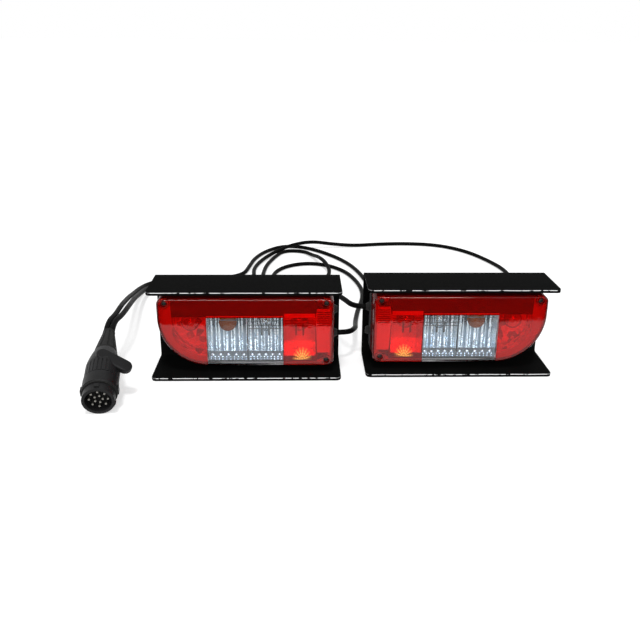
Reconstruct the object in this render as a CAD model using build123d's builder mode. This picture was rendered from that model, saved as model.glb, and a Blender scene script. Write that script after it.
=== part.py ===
from build123d import *
import math
import os

os.makedirs("parts", exist_ok=True)

# Where the two lamps stand. Each lamp is built as the right one, with X from its inner
# end outwards, Y from the front edge of the flanges backwards and Z up from the floor.
lamp_gap = 35.0
right_setback = 10.0

# Bracket: a folded sheet channel, open at the front and at both ends.
bracket_width = 260.0
bracket_depth = 88.0
bracket_height = 127.0
sheet = 4.0
bend_inner_radius = 3.0
bend_outer_radius = bend_inner_radius + sheet
flange_corner_radius = 7.0
sheared_edge_radius = 1.0
wall_front = bracket_depth - sheet

# Studs and screws of the back wall.
stud_radius = 3.0
stud_spacing = 55.0
stud_reach = 20.0
stud_chamfer = 0.8
stud_neck_radius = 3.4
stud_neck_rise = 0.5
back_screw_radius = 2.0
back_screw_spacing = 160.0
back_screw_head_radius = 4.0
back_screw_head = 2.4
back_screw_length = 14.0
hole_clearance = 0.1

front_y = -(bracket_depth + stud_reach + right_setback) / 2

# Lamp outline: square at the inner end, one wide sweep at the lower outer corner.
side_margin = 10.0
lens_margin = 14.5
lens_low = lens_margin
lens_high = bracket_height - lens_margin
lens_height = lens_high - lens_low
lens_inner = side_margin
lens_outer = bracket_width - side_margin
lens_width = lens_outer - lens_inner
lens_corner_radius = 9.0
least_corner_radius = 1.0
lens_sweep_radius = 69.0
base_sweep_radius = 59.0
base_margin = 1.0

# Depths from the front edge of the flanges.
lens_front = 19.0
lens_back = 58.5
lens_wall = 2.5
lens_edge_radius = 3.0
gasket = 1.5
base_front = lens_back + gasket
base_wall = 2.5

# Screw columns of the lens.
column_radius = 6.5
recess_radius = 4.2
recess_depth = 5.0
lens_screw_radius = 1.8
lens_screw_head_radius = 3.6
lens_screw_head = 2.4
lens_screw_bite = 14.0
lens_screw_end = base_front + lens_screw_bite
lens_screw_inset = 10.3
lens_screw_drop = 7.7
lens_screw_points = [
    (lens_inner + lens_screw_inset, lens_high - lens_screw_drop),
    (lens_inner + lens_screw_inset, lens_low + lens_screw_drop),
    (lens_outer - lens_screw_inset, lens_high - lens_screw_drop),
]

# Colourless window and the chambers behind the lens.
window_inner = lens_inner + 0.29 * lens_width
window_split = lens_inner + 0.494 * lens_width
window_outer = lens_inner + 0.725 * lens_width
window_high = lens_low + 0.716 * lens_height
window_return = 31.5
partition = 1.5
reflector_margin = 1.0
reflector_front = 26.0
reflector_inner_inset = 23.0
reflector_outer_inset = 18.0
reflector_drop = 4.0
reflector_inner = lens_inner + reflector_inner_inset
reflector_outer = lens_outer - reflector_outer_inset
reflector_high = lens_high - reflector_drop
chamber_inset = 1.3
chamber_rise = 6.5
chamber_drop = 0.7
chamber_low = lens_low + chamber_rise
chamber_high = window_high - chamber_drop
chamber_back = 53.0
chamber_border = 12.5
chamber_edges = [reflector_inner + chamber_inset, window_inner, window_split, window_outer, reflector_outer]
ledge_front = 34.0
ledge_rise = 10.0
ledge_high = chamber_low + ledge_rise
flute_radius = 5.2
flute_count = 5
flute_inset = 2.0

# Reflex panel beside the inner end, between the two screw columns.
reflex_inset = 5.5
reflex_margin = 17.0
reflex_inner = lens_inner + reflex_inset
reflex_low = lens_low + reflex_margin
reflex_high = lens_high - reflex_margin
reflex_depth = 8.0

# Bulbs hang glass down from sockets in the reflector's shelf.
bulb_names = ["tail_brake", "reversing", "indicator", "fog"]
bulb_points = [(low + high) / 2 for low, high in zip(chamber_edges, chamber_edges[1:])]
bulb_depth = 39.8
bulb_cap_radius = 7.5
bulb_cap_reach = 0.5
bulb_cap_drop = 2.5
socket_radius = 10.0
socket_rise = 2.0
socket_low = chamber_high + socket_rise
socket_flange_radius = 12.0
socket_flange = 1.2
socket_clearance = 0.2
bulb_cap_low = socket_low - bulb_cap_reach
bulb_top = reflector_high - bulb_cap_drop
globe_radius = 12.5
globe_drop = 13.5
globe_neck_angle = math.radians(35.0)
globe_height = bulb_cap_low - globe_drop

# Terminal block, reflector pillars and cable entries of the base.
tray_depth = wall_front - base_front
terminal_size = (70.0, 10.0, 14.0)
terminal_shift = 30.0
terminal_drop = 3.5
terminal_place = (bracket_width / 2 - terminal_shift, bracket_height / 2 - terminal_drop)
terminal_count = 6
terminal_pitch = 11.0
terminal_screw_radius = 2.2
pillar_radius = 4.0
pillar_drop = 10.5
pillar_points = [
    (reflector_inner + pillar_drop, reflector_high - pillar_drop),
    (reflector_outer - pillar_drop, reflector_high - pillar_drop),
]
boss_radius = 4.8
boss_front = wall_front - tray_depth / 2
entry_depth = base_front + tray_depth * 5 / 12
entry_rise = 16.5
entry_fall = 19.5
entry_heights = [bracket_height / 2 + entry_rise, bracket_height / 2 - entry_fall]
entry_radius = tray_depth * 5 / 24
grommet_tip = 3.0
grommet_tip_radius = 4.6
grommet_foot_radius = tray_depth * 7.5 / 24
grommet_inner_radius = tray_depth * 6.4 / 24
grommet_inner = 2.0

# Plug: lies on the rim of its nose with the tail a little up.
plug_aside = 45.1
plug_ahead = 99.0
plug_yaw = math.radians(6.5)
plug_tilt = math.radians(15.0)
plug_length = 142.0
plug_floor_gap = 0.19
sleeve_radius = 20.3
sleeve_bore = 16.5
lip_radius = 15.9
lip_start = 13.6
lip_end = 15.6
collar_start = 14.6
collar_end = 35.6
collar_radius = 22.5
collar_chamfer = 1.2
collar_grip = 2.0
barrel_start = 36.0
barrel_end = 62.0
barrel_radius = 22.0
shoulder_end = 94.0
shoulder_radius = 15.0
shoulder_fullness = 0.88
tail_bore = 12.0
cavity_radius = 19.0
ring_clearance = 0.15
turn_clearance = 0.25
seal_start = 12.6
seal_radius = 21.8
lug_count = 3
lug_reach = 1.4
lug_width = 6.0
lug_start = 3.5
lug_end = 9.5
rib_count = 26
rib_radius = 0.8
rib_end = 58.0
insert_front = 16.0
insert_back = 35.6
pin_radius = 1.25
pin_tip = 4.0
outer_pin_circle = 11.4
outer_pin_count = 8
inner_pin_circle = 5.2
inner_pin_count = 5
wing_length = 50.0
wing_width = 19.0
wing_thickness = 9.0
wing_edge = 2.5
wing_place = (62.0, 15.0, 13.0)
wing_sweep = math.radians(24.0)
wing_fall = math.radians(20.0)
boot_flange = 3.0
boot_end_radius = 8.4
boot_end = 4.0
boot_spigot = 6.0
boot_flutes = 10
boot_flute_depth = 1.6
boot_flute_end_depth = 0.8

# Cables.
cord_radius = 3.25
cord_spread = 3.4
cord_lead = 26.0
corner_share = 0.45

plug_side = Vector(math.cos(plug_yaw), math.sin(plug_yaw), 0)
plug_back = Vector(
    -math.sin(plug_yaw) * math.cos(plug_tilt),
    math.cos(plug_yaw) * math.cos(plug_tilt),
    math.sin(plug_tilt),
)
plug_up = plug_side.cross(plug_back)
plug_nose = Vector(
    -(lamp_gap / 2 + bracket_width + plug_aside),
    front_y - plug_ahead,
    sleeve_radius * math.cos(plug_tilt) + plug_floor_gap,
)
plug_axis = Axis(plug_nose, plug_back)
plug_section = Plane(origin=plug_nose, x_dir=plug_side, z_dir=plug_up)


def write_piece(piece, name):
    """Name one piece and write its file."""
    piece.part.label = name
    export_step(piece.part, f"parts/{name}.step")


def write_pair(piece, name):
    """Place one lamp piece on the right and its mirror image on the left."""
    with BuildPart() as right_piece:
        add(piece.part.moved(Location((lamp_gap / 2, front_y + right_setback, 0))))
    write_piece(right_piece, f"right_{name}")
    with BuildPart() as left_piece:
        mirror(piece.part.moved(Location((lamp_gap / 2, front_y, 0))), about=Plane.YZ)
    write_piece(left_piece, f"left_{name}")


def depth_plane(depth):
    """Upright plane at a depth behind the flanges' front edge, facing forward."""
    return Plane.XZ.offset(-depth)


def lamp_outline(grow, sweep):
    """The lamp's outline grown by a margin, as a flat face."""
    low = lens_low - grow
    high = lens_high + grow
    inner = lens_inner - grow
    outer = lens_outer + grow
    corner = max(lens_corner_radius + grow, least_corner_radius)
    with BuildSketch() as outline:
        with BuildLine():
            FilletPolyline(
                (inner, low),
                (outer, low),
                (outer, high),
                (inner, high),
                radius=[corner, sweep + grow, corner, corner],
                close=True,
            )
        make_face()
    return outline.sketch


def plug_face(distance):
    """Cross-section plane of the plug, facing out of the nose."""
    return Plane(origin=plug_nose + plug_back * distance, x_dir=plug_side, z_dir=-plug_back)


# Folded bracket with holes for the studs and for the screws of the base.
stud_points = [(bracket_width / 2 + side * stud_spacing / 2, bracket_height / 2) for side in (-1, 1)]
back_screw_points = [
    (bracket_width / 2 + side * back_screw_spacing / 2, bracket_height / 2) for side in (-1, 1)
]
with BuildPart() as bracket:
    with BuildSketch(Plane.YZ):
        with BuildLine():
            FilletPolyline(
                (0, 0),
                (bracket_depth, 0),
                (bracket_depth, bracket_height),
                (0, bracket_height),
                radius=bend_outer_radius,
            )
            Line((0, bracket_height), (0, bracket_height - sheet))
            FilletPolyline(
                (0, bracket_height - sheet),
                (wall_front, bracket_height - sheet),
                (wall_front, sheet),
                (0, sheet),
                radius=bend_inner_radius,
            )
            Line((0, sheet), (0, 0))
        make_face()
    extrude(amount=bracket_width)
    fillet(
        bracket.edges().filter_by(Axis.Z).filter_by_position(Axis.Y, -0.1, 0.1),
        flange_corner_radius,
    )
    sheared_faces = bracket.faces().filter_by(Axis.Y).filter_by_position(Axis.Y, -0.1, 0.1)
    sheared_edges = ShapeList([edge for face in sheared_faces for edge in face.edges().filter_by(Axis.X)])
    fillet(sheared_edges, sheared_edge_radius)
    with BuildSketch(depth_plane(bracket_depth)):
        with Locations(*stud_points):
            Circle(stud_neck_radius + hole_clearance)
        with Locations(*back_screw_points):
            Circle(back_screw_radius + hole_clearance)
    extrude(amount=sheet, mode=Mode.SUBTRACT)
write_pair(bracket, "bracket")

# Threaded studs behind the back wall, pressed into it by a plain neck.
with BuildPart() as mounting_studs:
    with BuildSketch(depth_plane(bracket_depth + stud_reach)):
        with Locations(*stud_points):
            Circle(stud_radius)
    extrude(amount=stud_reach)
    chamfer(mounting_studs.faces().group_by(Axis.Y)[-1].edges(), stud_chamfer)
    with BuildSketch(depth_plane(bracket_depth + stud_neck_rise)):
        with Locations(*stud_points):
            Circle(stud_neck_radius)
    extrude(amount=stud_neck_rise + sheet - hole_clearance)
write_pair(mounting_studs, "mounting_studs")

# Pan-head screws that hold the base to the back wall from behind.
with BuildPart() as base_screws:
    with BuildSketch(depth_plane(bracket_depth + back_screw_head)):
        with Locations(*back_screw_points):
            Circle(back_screw_head_radius)
    extrude(amount=back_screw_head)
    fillet(base_screws.faces().group_by(Axis.Y)[-1].edges(), back_screw_head / 2)
    with BuildSketch(depth_plane(bracket_depth)):
        with Locations(*back_screw_points):
            Circle(back_screw_radius)
    extrude(amount=back_screw_length)
write_pair(base_screws, "base_screws")

# Moulded tray with bosses for the screws, pillars for the reflector and two cable entries.
with BuildPart() as lamp_base:
    with BuildSketch(depth_plane(wall_front)):
        add(lamp_outline(base_margin, base_sweep_radius))
    extrude(amount=wall_front - base_front)
    offset(amount=-base_wall, openings=lamp_base.faces().sort_by(Axis.Y)[0])
    base_floor = wall_front - base_wall
    with BuildSketch(depth_plane(wall_front - base_wall / 2)):
        with Locations(*pillar_points):
            Circle(pillar_radius)
        with Locations(*lens_screw_points):
            Circle(boss_radius)
    extrude(amount=wall_front - base_wall / 2 - base_front)
    with BuildSketch(depth_plane(wall_front - base_wall / 2)):
        with Locations(*back_screw_points):
            Circle(boss_radius)
    extrude(amount=wall_front - base_wall / 2 - boss_front)
    with BuildSketch(depth_plane(wall_front)):
        with Locations(*back_screw_points):
            Circle(back_screw_radius + hole_clearance)
    extrude(amount=back_screw_length - sheet + hole_clearance, mode=Mode.SUBTRACT)
    with BuildSketch(depth_plane(base_front)):
        with Locations(*lens_screw_points):
            Circle(lens_screw_radius + hole_clearance)
    extrude(amount=-(lens_screw_end - base_front + hole_clearance), mode=Mode.SUBTRACT)
    with BuildSketch(Plane.YZ.offset(side_margin - base_margin)):
        with Locations(*[(entry_depth, height) for height in entry_heights]):
            Circle(entry_radius)
    extrude(amount=base_wall, mode=Mode.SUBTRACT)
write_pair(lamp_base, "lamp_base")

# Rubber frame between tray and lens.
with BuildPart() as lens_gasket:
    with BuildSketch(depth_plane(base_front)):
        add(lamp_outline(0.0, lens_sweep_radius))
        add(lamp_outline(-lens_wall, lens_sweep_radius), mode=Mode.SUBTRACT)
    extrude(amount=gasket)
write_pair(lens_gasket, "lens_gasket")

# Lens: one shell, parted into the red moulding and the colourless window.
with BuildPart() as lens_shell:
    with BuildSketch(depth_plane(lens_back)):
        add(lamp_outline(0.0, lens_sweep_radius))
    extrude(amount=lens_back - lens_front)
    fillet(lens_shell.faces().sort_by(Axis.Y)[0].edges(), lens_edge_radius)
    with BuildSketch(depth_plane(lens_back)):
        add(lamp_outline(-lens_wall, lens_sweep_radius))
        with Locations(*lens_screw_points):
            Circle(column_radius, mode=Mode.SUBTRACT)
    extrude(amount=lens_back - lens_front - lens_wall, mode=Mode.SUBTRACT)
    with BuildSketch(depth_plane(lens_front)):
        with Locations(*lens_screw_points):
            Circle(recess_radius)
    extrude(amount=-recess_depth, mode=Mode.SUBTRACT)
    with BuildSketch(depth_plane(lens_front)):
        with Locations(*lens_screw_points):
            Circle(lens_screw_radius + hole_clearance)
    extrude(amount=lens_front - lens_back, mode=Mode.SUBTRACT)

window_size = (window_outer - window_inner, window_return, window_high)
window_place = ((window_outer + window_inner) / 2, lens_front + window_return / 2, window_high / 2)
with BuildPart() as red_lens:
    add(lens_shell.part)
    with Locations(window_place):
        Box(*window_size, mode=Mode.SUBTRACT)
write_pair(red_lens, "red_lens")

with BuildPart() as clear_lens:
    add(lens_shell.part)
    with Locations(window_place):
        Box(*window_size, mode=Mode.INTERSECT)
write_pair(clear_lens, "clear_lens")

# Screws down the lens columns into the bosses of the tray.
with BuildPart() as lens_screws:
    with BuildSketch(depth_plane(lens_front + recess_depth)):
        with Locations(*lens_screw_points):
            Circle(lens_screw_head_radius)
    extrude(amount=lens_screw_head)
    fillet(lens_screws.faces().group_by(Axis.Y)[0].edges(), lens_screw_head / 2)
    with BuildSketch(depth_plane(lens_screw_end)):
        with Locations(*lens_screw_points):
            Circle(lens_screw_radius)
    extrude(amount=lens_screw_end - lens_front - recess_depth)
write_pair(lens_screws, "lens_screws")

# Reflector: four chambers under a shelf, the middle two fluted down to a ledge, and a panel
# behind the reflex strip.
chambers = list(zip(chamber_edges, chamber_edges[1:]))
with BuildPart() as reflector:
    with BuildSketch(depth_plane(base_front)):
        add(lamp_outline(-(lens_wall + reflector_margin), lens_sweep_radius))
        with Locations(((reflector_inner + reflector_outer) / 2, reflector_high / 2)):
            Rectangle(reflector_outer - reflector_inner, reflector_high, mode=Mode.INTERSECT)
    extrude(amount=base_front - reflector_front)
    with BuildSketch(depth_plane(reflector_front + reflex_depth)):
        with Locations(((reflex_inner + reflector_inner) / 2 + partition, (reflex_low + reflex_high) / 2)):
            Rectangle(reflector_inner - reflex_inner + 2 * partition, reflex_high - reflex_low)
    extrude(amount=reflex_depth)
    with BuildSketch(depth_plane(chamber_back)):
        for low_x, high_x in (chambers[0], chambers[3]):
            with Locations(((low_x + high_x) / 2, (chamber_low + chamber_high) / 2)):
                Rectangle(high_x - low_x - partition, chamber_high - chamber_low)
        add(lamp_outline(-chamber_border, lens_sweep_radius), mode=Mode.INTERSECT)
        for low_x, high_x in chambers[1:3]:
            with Locations(((low_x + high_x) / 2, (ledge_high + chamber_high) / 2)):
                Rectangle(high_x - low_x - partition, chamber_high - ledge_high)
    extrude(amount=chamber_back - reflector_front, mode=Mode.SUBTRACT)
    with BuildSketch(depth_plane(ledge_front)):
        for low_x, high_x in chambers[1:3]:
            with Locations(((low_x + high_x) / 2, (chamber_low + chamber_high) / 2)):
                Rectangle(high_x - low_x - partition, chamber_high - chamber_low)
    extrude(amount=ledge_front - reflector_front, mode=Mode.SUBTRACT)
    for low_x, high_x in chambers[1:3]:
        pitch = (high_x - low_x - partition) / flute_count
        with Locations(((low_x + high_x) / 2, chamber_back - flute_inset, (ledge_high + chamber_high) / 2)):
            with GridLocations(pitch, 1.0, flute_count, 1):
                Cylinder(min(flute_radius, pitch / 2), chamber_high - ledge_high, mode=Mode.SUBTRACT)
    with BuildSketch(Plane.XY.offset(chamber_high)):
        with Locations(*[(x, bulb_depth) for x in bulb_points]):
            Circle(socket_radius + socket_clearance)
    extrude(amount=reflector_high - chamber_high, mode=Mode.SUBTRACT)
write_pair(reflector, "reflector")

# Push-in sockets with a flange on the reflector's shelf.
with BuildPart() as bulb_holders:
    with BuildSketch(Plane.XY.offset(socket_low)):
        with Locations(*[(x, bulb_depth) for x in bulb_points]):
            Circle(socket_radius)
    extrude(amount=reflector_high - socket_low)
    with BuildSketch(Plane.XY.offset(reflector_high)):
        with Locations(*[(x, bulb_depth) for x in bulb_points]):
            Circle(socket_flange_radius)
    extrude(amount=socket_flange)
    with BuildSketch(Plane.XY.offset(socket_low)):
        with Locations(*[(x, bulb_depth) for x in bulb_points]):
            Circle(bulb_cap_radius + socket_clearance)
    extrude(amount=bulb_top - socket_low, mode=Mode.SUBTRACT)
write_pair(bulb_holders, "bulb_holders")

# Bulbs: metal cap in the socket, pear-shaped glass below.
for name, x in zip(bulb_names, bulb_points):
    with BuildPart() as bulb:
        with BuildSketch(depth_plane(bulb_depth)):
            with BuildLine():
                neck_x = x + globe_radius * math.cos(globe_neck_angle)
                neck = (neck_x, globe_height + globe_radius * math.sin(globe_neck_angle))
                Polyline(
                    (x, globe_height - globe_radius),
                    (x, bulb_top),
                    (x + bulb_cap_radius, bulb_top),
                    (x + bulb_cap_radius, bulb_cap_low),
                    neck,
                )
                ThreePointArc(neck, (x + globe_radius, globe_height), (x, globe_height - globe_radius))
            make_face()
        revolve(axis=Axis((x, bulb_depth, 0), (0, 0, 1)))
    write_pair(bulb, f"bulb_{name}")

# Terminal block on the floor of the tray.
with BuildPart() as terminal_block:
    with Locations((terminal_place[0], base_floor - terminal_size[1] / 2, terminal_place[1])):
        Box(*terminal_size)
    with BuildSketch(depth_plane(base_floor - terminal_size[1])):
        with Locations(terminal_place):
            with GridLocations(terminal_pitch, 1.0, terminal_count, 1):
                Circle(terminal_screw_radius)
    extrude(amount=-terminal_size[1] / 2, mode=Mode.SUBTRACT)
write_pair(terminal_block, "terminal_block")

# Rubber cable entries on the inner end of the tray.
entry_face = side_margin - base_margin
with BuildPart() as cable_grommets:
    for height in entry_heights:
        with BuildSketch(Plane(origin=(0, entry_depth, height), x_dir=(1, 0, 0), z_dir=(0, -1, 0))):
            with BuildLine():
                Polyline(
                    (grommet_tip, 0),
                    (grommet_tip, grommet_tip_radius),
                    (entry_face, grommet_foot_radius),
                    (entry_face, entry_radius - hole_clearance),
                    (entry_face + base_wall, entry_radius - hole_clearance),
                    (entry_face + base_wall, grommet_inner_radius),
                    (entry_face + base_wall + grommet_inner, grommet_inner_radius),
                    (entry_face + base_wall + grommet_inner, 0),
                    close=True,
                )
            make_face()
        revolve(axis=Axis((0, entry_depth, height), (1, 0, 0)))
write_pair(cable_grommets, "cable_grommets")

# Turning wing of the plug: an oval paddle across the shoulder.
wing_out = (plug_side * math.cos(wing_sweep) - plug_back * math.sin(wing_sweep)) * math.cos(wing_fall)
wing_out = wing_out - plug_up * math.sin(wing_fall)
wing_across = plug_up.cross(wing_out)
wing_plane = Plane(
    origin=plug_nose + plug_back * wing_place[0] + plug_side * wing_place[1] + plug_up * wing_place[2],
    x_dir=wing_out,
    z_dir=wing_out.cross(wing_across),
)
with BuildPart() as wing:
    with BuildSketch(wing_plane):
        SlotOverall(wing_length, wing_width)
    extrude(amount=wing_thickness / 2, both=True)
    wing_ends = wing.faces().filter_by(wing_plane)
    fillet(wing_ends.edges(), wing_edge)

# Plug sleeve: the open nose, with a lip that keeps the contact carrier in and lugs outside
# for the socket.
with BuildPart() as plug_sleeve:
    with BuildSketch(plug_section):
        with BuildLine():
            Polyline(
                (sleeve_bore, 0),
                (sleeve_radius, 0),
                (sleeve_radius, barrel_start),
                (sleeve_bore, barrel_start),
                (sleeve_bore, lip_end),
                (lip_radius, lip_end),
                (lip_radius, lip_start),
                (sleeve_bore, lip_start),
                close=True,
            )
        make_face()
    revolve(axis=plug_axis)
    with BuildSketch(plug_face(lug_end)):
        with PolarLocations(sleeve_radius, lug_count, start_angle=90):
            Rectangle(2 * lug_reach, lug_width)
    extrude(amount=lug_end - lug_start)
write_piece(plug_sleeve, "plug_sleeve")

# Plug housing: ribbed barrel, shoulder and wing in one moulding around a hollow.
with BuildPart() as plug_housing:
    with BuildSketch(plug_section):
        with BuildLine():
            Polyline(
                (0, shoulder_end),
                (0, barrel_start),
                (barrel_radius, barrel_start),
                (barrel_radius, barrel_end),
            )
            shoulder_mid = (barrel_radius * shoulder_fullness, (barrel_end + shoulder_end) / 2)
            ThreePointArc((barrel_radius, barrel_end), shoulder_mid, (shoulder_radius, shoulder_end))
            Line((shoulder_radius, shoulder_end), (0, shoulder_end))
        make_face()
    revolve(axis=plug_axis)
    with BuildSketch(plug_face(rib_end)):
        with PolarLocations(barrel_radius, rib_count):
            Circle(rib_radius)
    extrude(amount=rib_end - barrel_start, mode=Mode.SUBTRACT)
    add(wing.part)
    with BuildSketch(plug_section):
        with BuildLine():
            Polyline(
                (0, barrel_start),
                (tail_bore, barrel_start),
                (tail_bore, barrel_start + base_wall),
                (cavity_radius, barrel_start + base_wall),
                (cavity_radius, barrel_end),
                (tail_bore, shoulder_end - boot_spigot),
                (tail_bore, shoulder_end),
                (0, shoulder_end),
                close=True,
            )
        make_face()
    revolve(axis=plug_axis, mode=Mode.SUBTRACT)
write_piece(plug_housing, "plug_housing")

# Coupling collar with two grips.
with BuildPart() as plug_collar:
    collar_bore = sleeve_radius + ring_clearance
    with BuildSketch(plug_section):
        with BuildLine():
            Polyline(
                (collar_bore, collar_start),
                (collar_radius - collar_chamfer, collar_start),
                (collar_radius, collar_start + collar_chamfer),
                (collar_radius, collar_end - collar_chamfer),
                (collar_radius - collar_chamfer, collar_end),
                (collar_bore, collar_end),
                close=True,
            )
        make_face()
    revolve(axis=plug_axis)
    with BuildSketch(plug_face((collar_start + collar_end) / 2)):
        with PolarLocations(collar_radius, 2):
            Rectangle(collar_grip, 4 * collar_grip)
    extrude(amount=(collar_end - collar_start) / 2 - collar_chamfer)
write_piece(plug_collar, "plug_collar")

# Rubber seal in front of the collar.
with BuildPart() as plug_seal:
    with BuildSketch(plug_face(collar_start)):
        Circle(seal_radius)
        Circle(sleeve_radius + ring_clearance, mode=Mode.SUBTRACT)
    extrude(amount=collar_start - seal_start)
write_piece(plug_seal, "plug_seal")

# Contact carrier, free to turn in the sleeve, and its pins.
with BuildPart() as plug_insert:
    with BuildSketch(plug_face(insert_back)):
        Circle(sleeve_bore - turn_clearance)
        with PolarLocations(outer_pin_circle, outer_pin_count):
            Circle(pin_radius, mode=Mode.SUBTRACT)
        with PolarLocations(inner_pin_circle, inner_pin_count):
            Circle(pin_radius, mode=Mode.SUBTRACT)
    extrude(amount=insert_back - insert_front)
write_piece(plug_insert, "plug_insert")

with BuildPart() as plug_pins:
    with BuildSketch(plug_face(insert_back)):
        with PolarLocations(outer_pin_circle, outer_pin_count):
            Circle(pin_radius)
        with PolarLocations(inner_pin_circle, inner_pin_count):
            Circle(pin_radius)
    extrude(amount=insert_back - pin_tip)
write_piece(plug_pins, "plug_pins")

# Fluted bend relief at the tail, with a spigot in the housing.
with BuildPart() as plug_boot:
    with BuildSketch(plug_face(shoulder_end)):
        Circle(tail_bore - hole_clearance)
    extrude(amount=boot_spigot)
    with BuildSketch(plug_face(shoulder_end + boot_flange)):
        Circle(shoulder_radius)
    extrude(amount=boot_flange)
    with BuildSketch(plug_face(shoulder_end + boot_flange)):
        Circle(shoulder_radius)
        with PolarLocations(shoulder_radius, boot_flutes):
            Circle(boot_flute_depth, mode=Mode.SUBTRACT)
    with BuildSketch(plug_face(plug_length - boot_end)):
        Circle(boot_end_radius)
        with PolarLocations(boot_end_radius, boot_flutes):
            Circle(boot_flute_end_depth, mode=Mode.SUBTRACT)
    loft(ruled=True)
    with BuildSketch(plug_face(plug_length)):
        Circle(boot_end_radius)
    extrude(amount=boot_end)
write_piece(plug_boot, "plug_boot")

# Cable routes: from the plug's tail, round the floor behind the lamps, to an entry of each lamp.
tail_point = plug_nose + plug_back * plug_length
right_lead = tail_point - plug_side * cord_spread
left_lead = tail_point + plug_side * cord_spread
right_entry = (lamp_gap / 2 + grommet_tip, front_y + right_setback + entry_depth, entry_heights[0])
left_entry = (-lamp_gap / 2 - grommet_tip, front_y + entry_depth, entry_heights[1])
right_route = [
    tuple(right_lead),
    tuple(right_lead + plug_back * cord_lead),
    (-346.0, 36.0, 64.0),
    (-349.5, 80.0, 57.5),
    (-354.0, 130.0, 44.0),
    (-359.5, 183.0, 28.5),
    (-365.0, 240.0, 14.5),
    (-367.5, 300.0, 5.0),
    (-360.0, 352.0, 3.3),
    (-333.0, 391.0, 3.3),
    (-284.0, 407.0, 3.3),
    (-229.0, 408.0, 3.3),
    (-190.0, 430.0, 3.3),
    (-177.0, 481.0, 3.3),
    (-170.0, 536.0, 3.3),
    (-150.0, 592.0, 3.3),
    (-113.0, 637.0, 3.3),
    (-66.0, 629.0, 3.3),
    (-18.0, 578.0, 3.3),
    (20.0, 514.0, 3.3),
    (42.0, 444.0, 3.3),
    (53.0, 372.0, 3.3),
    (72.0, 302.0, 3.3),
    (118.0, 250.0, 3.3),
    (186.0, 233.0, 3.3),
    (254.0, 253.0, 3.3),
    (306.0, 304.0, 3.3),
    (335.0, 373.0, 3.3),
    (341.0, 446.0, 3.3),
    (324.0, 516.0, 3.3),
    (290.0, 596.0, 3.3),
    (236.0, 647.0, 3.3),
    (166.0, 662.0, 3.3),
    (98.0, 650.0, 3.3),
    (48.0, 630.0, 3.3),
    (-2.0, 638.0, 6.0),
    (-50.0, 648.0, 14.0),
    (-96.0, 612.0, 14.0),
    (-133.0, 572.0, 5.0),
    (-157.0, 516.0, 3.3),
    (-168.0, 458.0, 3.3),
    (-163.0, 408.0, 3.3),
    (-186.0, 369.0, 3.3),
    (-226.0, 345.0, 3.3),
    (-254.0, 314.0, 3.3),
    (-250.0, 274.0, 3.3),
    (-212.0, 255.0, 3.3),
    (-172.0, 268.0, 3.3),
    (-152.0, 312.0, 3.3),
    (-148.0, 368.0, 3.3),
    (-147.0, 428.0, 3.3),
    (-143.0, 486.0, 3.3),
    (-128.0, 548.0, 3.3),
    (-110.0, 598.0, 3.3),
    (-66.0, 594.0, 3.3),
    (-43.0, 550.0, 5.0),
    (-33.0, 512.0, 13.5),
    (-25.0, 466.0, 13.5),
    (-21.0, 424.0, 5.0),
    (-32.0, 378.0, 3.3),
    (-53.0, 332.0, 3.3),
    (-66.0, 286.0, 3.6),
    (-70.0, 242.0, 9.0),
    (-64.0, 200.0, 25.0),
    (-53.0, 162.0, 47.0),
    (-40.0, 128.0, 67.0),
    (-25.0, 92.0, 78.5),
    (-9.0, 52.0, 80.5),
    (3.0, right_entry[1], right_entry[2]),
    right_entry,
]
left_route = [
    tuple(left_lead),
    tuple(left_lead + plug_back * cord_lead),
    (-338.0, 35.0, 63.0),
    (-341.0, 78.0, 56.0),
    (-345.5, 128.0, 43.0),
    (-351.0, 181.0, 28.0),
    (-356.5, 237.0, 14.0),
    (-357.5, 292.0, 5.0),
    (-348.0, 338.0, 3.3),
    (-313.0, 358.0, 3.3),
    (-285.0, 328.0, 3.3),
    (-276.0, 278.0, 3.3),
    (-246.0, 236.0, 3.3),
    (-198.0, 222.0, 3.3),
    (-150.0, 240.0, 3.3),
    (-126.0, 286.0, 3.3),
    (-124.0, 340.0, 3.3),
    (-128.0, 392.0, 3.3),
    (-124.0, 440.0, 3.3),
    (-100.0, 482.0, 3.3),
    (-57.0, 502.0, 3.3),
    (-14.0, 484.0, 3.3),
    (17.0, 440.0, 3.3),
    (33.0, 384.0, 3.3),
    (41.0, 326.0, 3.3),
    (37.0, 270.0, 3.3),
    (26.0, 220.0, 4.5),
    (19.0, 172.0, 8.0),
    (14.0, 124.0, 16.0),
    (11.0, 80.0, 27.0),
    (8.0, 44.0, 38.0),
    (-3.0, left_entry[1], left_entry[2]),
    left_entry,
]


def corner_radii(points):
    """Bend radius at each corner of a route, from the shorter run and the turn."""
    radii = []
    for before, corner, after in zip(points, points[1:], points[2:]):
        run_in = Vector(corner) - Vector(before)
        run_out = Vector(after) - Vector(corner)
        turn = math.radians(run_in.get_angle(run_out))
        radii.append(corner_share * min(run_in.length, run_out.length) / math.tan(turn / 2))
    return radii


for name, route in (("cord_right", right_route), ("cord_left", left_route)):
    radii = corner_radii(route)
    with BuildPart() as cord:
        with BuildLine() as path:
            FilletPolyline(*route, radius=radii)
        with BuildSketch(Plane(path.line ^ 0)):
            Circle(cord_radius)
        sweep()
    write_piece(cord, name)
    length = path.wire().length
    share = cord.part.volume / (math.pi * cord_radius**2 * length)
    print(name, "length", round(length), "tube volume over section times length", round(share, 4))
    print(name, "bend radii", [round(radius) for radius in radii])
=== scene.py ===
import math

import bmesh
import bpy
from mathutils import Matrix, Vector, noise
from mathutils.geometry import convex_hull_2d, intersect_line_line_2d, tessellate_polygon


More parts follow.
